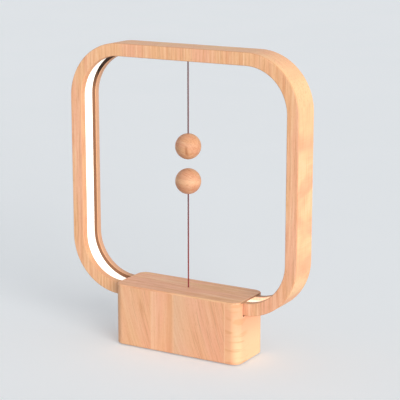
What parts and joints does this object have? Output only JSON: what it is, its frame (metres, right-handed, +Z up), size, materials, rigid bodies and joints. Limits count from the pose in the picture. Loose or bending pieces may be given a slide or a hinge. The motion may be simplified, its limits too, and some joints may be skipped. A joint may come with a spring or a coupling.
{
  "type": "magnetic balance lamp",
  "caption": "Desk lamp: a rounded-square wooden ring with a lit inner groove in a wooden base; pulling a corded magnetic ball towards its hanging twin works the switch.",
  "frame": {"origin": "on the table under the middle of the base", "axes": "+Z up, +X along the base and the ring's width, the front is -Y"},
  "size_m": [0.24, 0.05, 0.2865],
  "materials": {
    "ring_wood": "light beech, matt oiled, grain upright on the front",
    "base_wood": "light beech, matt oiled, upright cathedral grain on the front",
    "ball_wood": "turned beech, satin",
    "diffuser": "milky, lit from behind",
    "strip": "flexible white circuit",
    "chips": "phosphor",
    "cord": "twisted cord",
    "screw_steel": "zinc plated",
    "ballast_steel": "raw, lightly oiled",
    "spring_steel": "drawn wire and strip",
    "brass": "turned",
    "magnet": "nickel plated",
    "plate_plastic": "fine moulded texture",
    "switch_plastic": "moulded",
    "plunger": "moulded acetal",
    "button": "moulded",
    "board": "solder mask",
    "components": "moulded",
    "rubber": "matt",
    "led_wire": "wire insulation",
    "switch_wire": "wire insulation"
  },
  "bodies": {
    "root": {"base_block": "base_wood", "base_top_panel": "base_wood", "ring_frame": "ring_wood", "diffuser": "diffuser", "led_strip": "strip", "led_chips": "chips", "ring_screws": "screw_steel", "bottom_plate": "plate_plastic", "bottom_plate_screws": "screw_steel", "rubber_feet": "rubber", "ballast_weights": "ballast_steel", "ballast_screws": "screw_steel", "circuit_board": "board", "circuit_board_screws": "screw_steel", "board_components": "components", "power_socket_shell": "screw_steel", "power_socket_tongue": "switch_plastic", "guide_bush": "brass", "return_spring": "spring_steel", "switch_bracket": "spring_steel", "bracket_screws": "screw_steel", "switch_body": "switch_plastic", "switch_screws": "screw_steel", "switch_terminals": "brass", "switch_lever_pin": "spring_steel", "switch_leads": "switch_wire", "led_leads": "led_wire", "upper_cord_anchor": "brass", "upper_cord_tail": "cord"},
    "plunger": {"pull_plunger": "plunger", "plunger_knot": "cord", "lower_cord_tail": "cord"},
    "switch_lever": {"switch_lever": "spring_steel"},
    "switch_button": {"switch_button": "button"},
    "lower_cord_bend": {"lower_cord_bend": "cord"},
    "lower_ball": {"lower_cord": "cord", "lower_ball": "ball_wood", "lower_ball_plug": "ball_wood", "lower_magnet": "magnet", "lower_ball_knot": "cord"},
    "upper_cord_bend": {"upper_cord_bend": "cord"},
    "upper_ball": {"upper_cord": "cord", "upper_ball": "ball_wood", "upper_ball_plug": "ball_wood", "upper_magnet": "magnet", "upper_ball_knot": "cord"}
  },
  "joints": [
    {"name": "plunger_slide", "type": "slide", "parent": "root", "child": "plunger", "axis": [0, 0, 1], "range_m": [-0.0015, 0], "stiffness_N_per_m": 300, "springref_m": 0.002, "deforming": ["return_spring"]},
    {"name": "lower_swing_side", "type": "hinge", "parent": "plunger", "child": "lower_cord_bend", "pos_m": [0, 0, 0.0619], "axis": [0, 1, 0], "range_deg": [-50, 50], "stiffness_Nm_per_rad": 0.03},
    {"name": "lower_swing_front", "type": "hinge", "parent": "lower_cord_bend", "child": "lower_ball", "pos_m": [0, 0, 0.0619], "axis": [1, 0, 0], "range_deg": [-50, 50], "stiffness_Nm_per_rad": 0.03},
    {"name": "upper_swing_side", "type": "hinge", "parent": "root", "child": "upper_cord_bend", "pos_m": [0, 0, 0.2771], "axis": [0, 1, 0], "range_deg": [-50, 50]},
    {"name": "upper_swing_front", "type": "hinge", "parent": "upper_cord_bend", "child": "upper_ball", "pos_m": [0, 0, 0.2771], "axis": [1, 0, 0], "range_deg": [-50, 50]},
    {"name": "switch_lever_hinge", "type": "hinge", "parent": "root", "child": "switch_lever", "pos_m": [0.0203, 0, 0.02545], "axis": [0, 1, 0], "range_deg": [-7, 0]},
    {"name": "switch_button_slide", "type": "slide", "parent": "root", "child": "switch_button", "axis": [0, 0, 1], "range_m": [-0.0005, 0]}
  ],
  "couplings": [
    {"joint": "switch_lever_hinge", "follows": "plunger_slide", "rad_per_m": 68.721},
    {"joint": "switch_button_slide", "follows": "plunger_slide", "ratio": 0.2966}
  ]
}
